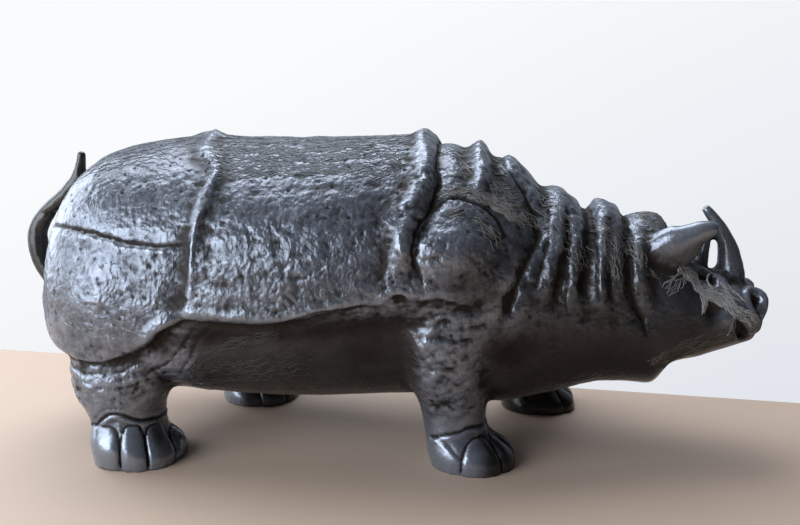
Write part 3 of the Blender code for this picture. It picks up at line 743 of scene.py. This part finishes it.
def addStrands(name, runs, tree, seed, s):
    dice = np.random.default_rng(seed)
    data = bpy.data.curves.new(name, "CURVE")
    data.dimensions = "3D"
    data.bevel_depth = 0.001
    data.bevel_resolution = 0
    data.use_fill_caps = True
    for run in runs:
        line = curved(run["line"], 6)
        for side, count in flanks(run, s):
            for _ in range(count):
                place = strandPath(run, line, dice, tree, side, s)
                if not place:
                    continue
                thick = run["radius"] * dice.uniform(*s["thickness"])
                spline = data.splines.new("POLY")
                spline.points.add(len(place) - 1)
                for k, (point, spot) in enumerate(zip(spline.points, place)):
                    point.co = (*spot, 1)
                    swell = math.sin(math.pi * (k + 0.4) / (len(place) - 0.2))
                    point.radius = thick * (s["tip"] + (1 - s["tip"]) * swell)
    guide = put(name, data)
    graph = bpy.context.evaluated_depsgraph_get()
    mesh = bpy.data.meshes.new_from_object(guide.evaluated_get(graph))
    bpy.data.objects.remove(guide)
    weld(mesh, 1e-7)
    mesh.shade_smooth()
    keepInside(mesh, solidBox, 0)
    return put(name, mesh)


tree = BVHTree.FromObject(rhino, bpy.context.evaluated_depsgraph_get())
strands = {name: addStrands(name, runs, tree, k + 1, threadSettings)
           for k, (name, runs) in enumerate(strandSettings.items())}
for name, piece in strands.items():
    print(name, countTriangles(piece.data))


# Graphite glaze, with painted highlights on its crests and painted shade in its recesses and underneath
glazeSettings = {
    # the second colour is the lighter grey of burnished crests and knobs, also a painted highlight on them;
    # the third is the dark brown of painted shade in recesses, under the ear, on the throat and lower boss,
    # and under the belly and chest, where the clay is also less burnished
    "body": (0.062, 0.065, 0.075), "wornAndHighlight": (0.22, 0.235, 0.27), "warmShade": (0.020, 0.015, 0.012),
    "olive": (0.034, 0.030, 0.022), "matted": (0.20, 0.203, 0.20), "metal": 0.6, "roughness": 0.29,
    "cloud": 28.0, "grain": 330.0, "crumbs": 250.0, "strokes": (260.0, 260.0, 80.0), "folds": 85.0,
    "slant": 0.5, "shade": 0.62, "bump": 0.0011,
}


class Wire:  # a shader socket that can be added, taken away and multiplied
    def __init__(self, tree, socket):
        self.tree, self.socket = tree, socket

    def maths(self, operation, *others, turned=False):
        made = self.tree.nodes.new("ShaderNodeMath")
        made.operation = operation
        values = (self,) + others
        for slot, value in zip(made.inputs, values[::-1] if turned else values):
            if isinstance(value, Wire):
                self.tree.links.new(value.socket, slot)
            else:
                slot.default_value = value
        return Wire(self.tree, made.outputs[0])

    def __add__(self, other):
        return self.maths("ADD", other)

    def __sub__(self, other):
        return self.maths("SUBTRACT", other)

    def __rsub__(self, other):
        return self.maths("SUBTRACT", other, turned=True)

    def __mul__(self, other):
        return self.maths("MULTIPLY", other)

    __radd__ = __add__
    __rmul__ = __mul__

    def clamped(self):
        return self.maths("MAXIMUM", 0.0).maths("MINIMUM", 1.0)


class Nodes:  # adds nodes to a shader tree
    def __init__(self, tree):
        self.tree = tree

    def node(self, kind, settings=None, values=None, out=0):
        made = self.tree.nodes.new("ShaderNode" + kind)
        for name, value in (settings or {}).items():
            setattr(made, name, value)
        self.fill(made, values or {})
        return Wire(self.tree, made.outputs[out])

    def fill(self, made, values):
        for name, value in values.items():
            if isinstance(value, Wire):
                self.tree.links.new(value.socket, made.inputs[name])
            else:
                made.inputs[name].default_value = value

    def mix(self, factor, first, second):
        return self.node("Mix", {"data_type": "RGBA"}, {0: factor, 6: first, 7: second}, out=2)

    def attribute(self, name):
        return self.node("Attribute", {"attribute_name": name}, out=2)


class Finish(Nodes):  # a material with its Principled shader
    def __init__(self, name):
        self.material = bpy.data.materials.new(name)
        self.material.use_nodes = True
        super().__init__(self.material.node_tree)
        self.shader = self.tree.nodes["Principled BSDF"]

    def shade(self, **values):
        self.fill(self.shader, {name.replace("_", " "): value for name, value in values.items()})


def rgba(colour):
    return (*colour, 1)


def spreadValue(mesh, name, values):
    mesh.attributes.new(name, "FLOAT", "POINT").data.foreach_set("value", np.asarray(values, np.float32))


def standing(mesh, rounds):  # how far each point stands out from the smoothed skin round it, in mm
    place = points(mesh)
    return ((place - levelled(mesh, place, rounds)) * points(mesh, "normal")).sum(1) * 1000


def markSkin(mesh, s):  # shares of the skin that the glaze looks up
    x, y, z = drawing(mesh)
    onSide = onCheek(y)
    spreadValue(mesh, "raised", neighbourMean(mesh, standing(mesh, 24), 1))
    spreadValue(mesh, "knobs", standing(mesh, 4))
    spreadValue(mesh, "rough", hideShare(x, y, z))
    # Darker under the belly and chest: partly less burnished clay, partly painted shade; painted shade also
    # along the mouth and in the cheek hollow
    belly = falling(z, 114, 10) * rising(x, -100, 12) * falling(x, 62, 10)
    chest = falling(z, 112, 26) * rising(x, 92, 14)
    low = np.maximum(belly, chest)
    for line in s["shadeLines"]:
        signed, share = walk(line, x, z, 8)
        low = np.maximum(low, np.exp(-((signed / s["shadeLineWidth"]) ** 4)) * tapered(share, 0.1, 0.1) * onSide)
    spreadValue(mesh, "low", low)
    spreadValue(mesh, "bare", tailShare(x, y, z))
    throat = rising(x, 108, 26) * falling(z, 162, 24) * falling(x, 262, 16)
    earRoot = smooth((147 + (x - 214) * 0.5 - z) / 7) * rising(x, 208, 5)
    earRoot *= rising(np.abs(y), 21, 5) * (z > 132)
    boss = np.exp(-((away(x, y, z, (92, 90, 132)) / 20) ** 4))
    spreadValue(mesh, "shaded", np.maximum(np.maximum(throat, 1.2 * earRoot), 0.9 * boss))
    spreadValue(mesh, "matted", np.maximum(bandShare(x, z, s) * onSide, lipShare(x, y, z, s)))


def graphiteGlaze(s):
    f = Finish("graphite_glaze")
    place = f.node("TexCoord", out=3)
    raised, knobs, rough = f.attribute("raised"), f.attribute("knobs"), f.attribute("rough")
    low, matted, bare, shaded = [f.attribute(name) for name in ("low", "matted", "bare", "shaded")]
    cloud = f.node("TexNoise", None, {"Vector": place, "Scale": s["cloud"], "Detail": 4.0})
    grain = f.node("TexNoise", None,
                   {"Vector": place, "Scale": s["grain"], "Detail": 4.0, "Roughness": 0.62})
    crumbs = f.node("TexVoronoi", {"feature": "SMOOTH_F1"},
                    {"Vector": place, "Scale": s["crumbs"], "Smoothness": 0.4})
    slanted = f.node("Mapping", None,
                     {"Vector": place, "Rotation": (0, s["slant"], 0), "Scale": s["strokes"]})
    strokes = f.node("TexNoise", None, {"Vector": slanted, "Scale": 1.0, "Detail": 2.0})
    fleck = (grain - 0.5) * 1.6 + (strokes - 0.5) * 0.9 + (0.45 - crumbs) * 0.5
    # Lighter colour on ridges and knobs: partly worn, burnished clay, partly a painted highlight on the
    # crests
    wornAndHighlight = (0.34 + raised * 0.6 + knobs * 1.0 + (cloud - 0.5) * 0.9 + fleck * rough * 0.45).clamped()
    colour = f.mix(wornAndHighlight, rgba(s["body"]), rgba(s["wornAndHighlight"]))
    # Painted shade: recesses below the smoothed skin are darkened towards a dark brown
    sunkShade = (0.0 - raised * 1.5 - knobs * 2.0).clamped()
    colour = f.mix(sunkShade, colour, rgba(s["warmShade"]))
    colour = f.mix(shaded * s["shade"], colour, rgba(s["warmShade"]))
    # Painted shade, with partly darker clay, under the belly and chest and along the mouth and cheek hollow
    colour = f.mix((low * (0.85 + (cloud - 0.5) * 0.4)).clamped(), colour, rgba(s["warmShade"]))
    colour = f.mix(bare * 0.9, colour, rgba(s["olive"]))
    colour = f.mix((matted * (0.35 + fleck * 1.2)).clamped(), colour, rgba(s["matted"]))
    roughness = (s["roughness"] + (cloud - 0.5) * 0.3 - wornAndHighlight * 0.10 + sunkShade * 0.3 + matted * 0.3
                 + (1.0 - rough) * 0.05 + (grain - 0.5) * 0.3).clamped()
    folds = f.node("TexNoise", None,
                   {"Vector": place, "Scale": s["folds"], "Detail": 2.5, "Roughness": 0.5, "Distortion": 0.7})
    height = grain * 0.45 + strokes * 0.5 - crumbs * 0.3 - (folds - 0.5).maths("ABSOLUTE") * 1.2 - 0.25
    height = height * (0.16 + rough * (0.28 + cloud))
    bump = f.node("Bump", None, {"Strength": 1.0, "Distance": s["bump"], "Height": height})
    f.shade(Base_Color=colour, Roughness=roughness, Metallic=s["metal"], Normal=bump)
    return f.material


def strandGlaze(name, colour, metal, roughness):
    f = Finish(name)
    place = f.node("TexCoord", out=3)
    cloud = f.node("TexNoise", None, {"Vector": place, "Scale": 60.0, "Detail": 3.0})
    grain = f.node("TexNoise", None, {"Vector": place, "Scale": 900.0, "Detail": 2.0})
    tint = f.mix((0.5 + (cloud - 0.5) * 2.4).clamped(), rgba([c * 0.5 for c in colour]), rgba(colour))
    bump = f.node("Bump", None, {"Strength": 0.6, "Distance": 0.0003, "Height": grain})
    f.shade(Base_Color=tint, Roughness=roughness + (cloud - 0.5) * 0.3, Metallic=metal, Normal=bump)
    return f.material


strandColours = {  # colour, metal, roughness
    "face_strands": [(0.39, 0.385, 0.37), 0.1, 0.6],
    "jaw_strands": [(0.10, 0.08, 0.065), 0.1, 0.55],
    "belly_strands": [(0.040, 0.032, 0.026), 0.2, 0.5],
    "shoulder_strands": [(0.27, 0.26, 0.245), 0.15, 0.48],
    "neck_strands": [(0.22, 0.21, 0.20), 0.2, 0.48],
    "back_strands": [(0.13, 0.135, 0.145), 0.4, 0.42],
}


def dress(piece, material):
    piece.data.materials.clear()
    piece.data.materials.append(material)
    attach(piece, "root")
    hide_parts("rhinoceros")


markSkin(rhino.data, faceSettings)
dress(rhino, graphiteGlaze(glazeSettings))
for name, piece in strands.items():
    dress(piece, strandGlaze(name, *strandColours[name]))
print("glazed")


# Floor, backdrop and studio light
studioSettings = {
    "floor": (0.60, 0.44, 0.33), "floorBack": [(-1.6, 0.271), (1.6, -0.037)], "floorFront": -1.6,
    # the backdrop's lit colour, then its colour in painted shade
    "bright": (0.95, 0.965, 0.98), "wallShade": (0.60, 0.64, 0.72),
    "sky": (0.78, 0.86, 1.0), "skyLow": 0.05, "skyHigh": 0.66,
    "lamps": [  # name, place, aimed at, width, height, watts, colour
        ["window", (-1.45, 0.40, 0.55), (0.0, 0.0, 0.12), 1.4, 1.1, 20.0, (0.80, 0.89, 1.0)],
        ["windowFront", (-1.10, -1.05, 0.54), (0.0, 0.0, 0.12), 1.2, 1.0, 25.0, (0.80, 0.89, 1.0)],
        ["above", (-0.30, 0.45, 1.25), (0.0, 0.0, 0.15), 1.3, 0.9, 16.0, (0.84, 0.91, 1.0)],
    ],
}


def addFloor(s):
    (leftX, leftY), (rightX, rightY) = s["floorBack"]
    bm = bmesh.new()
    corners = [(leftX, s["floorFront"], 0), (rightX, s["floorFront"], 0),
               (rightX, rightY, 0), (leftX, leftY, 0)]
    bm.faces.new([bm.verts.new(corner) for corner in corners])
    mesh = bpy.data.meshes.new("floor")
    bm.to_mesh(mesh)
    bm.free()
    floor = put("floor", mesh)
    f = Finish("pale_floor")
    cloud = f.node("TexNoise", None, {"Vector": f.node("TexCoord", out=3), "Scale": 5.0, "Detail": 3.0})
    colour = f.mix(cloud, rgba([c * 0.93 for c in s["floor"]]), rgba(s["floor"]))
    f.shade(Base_Color=colour, Roughness=0.6)
    floor.data.materials.append(f.material)


def addStudio(s):
    addFloor(s)
    for name, place, target, wide, high, watts, colour in s["lamps"]:
        lamp = bpy.data.lights.new(name, "AREA")
        lamp.shape = "RECTANGLE"
        lamp.size, lamp.size_y = wide, high
        lamp.energy = watts
        lamp.color = colour
        holder = put(name, lamp)
        holder.location = place
        holder.visible_camera = False
        aim(holder, Vector(place) - Vector(target))
    world = bpy.data.worlds.new("room")
    world.use_nodes = True
    scene.world = world
    f = Nodes(world.node_tree)
    right, behind, up = [f.node("SeparateXYZ", None, {"Vector": f.node("TexCoord")}, out=k)
                         for k in range(3)]
    # Backdrop seen by the camera: a pale wall with painted light, brightest to the left and above, in painted
    # shade towards the right and below
    wallShade = (0.12 + right * 0.45 - up * 0.9).clamped()
    wall = f.mix(wallShade, rgba(s["bright"]), rgba(s["wallShade"]))
    openSky = (0.15 + up * 0.5 + behind * 0.6 - right * 0.5).clamped()
    level = s["skyLow"] + openSky * (s["skyHigh"] - s["skyLow"])
    around = f.mix(level, (0, 0, 0, 1), rgba(s["sky"]))
    colour = f.mix(f.node("LightPath"), around, wall)
    f.fill(world.node_tree.nodes["Background"], {"Color": colour, "Strength": 1.0})
    scene.view_settings.view_transform = "Standard"


addStudio(studioSettings)
print("studio lit")
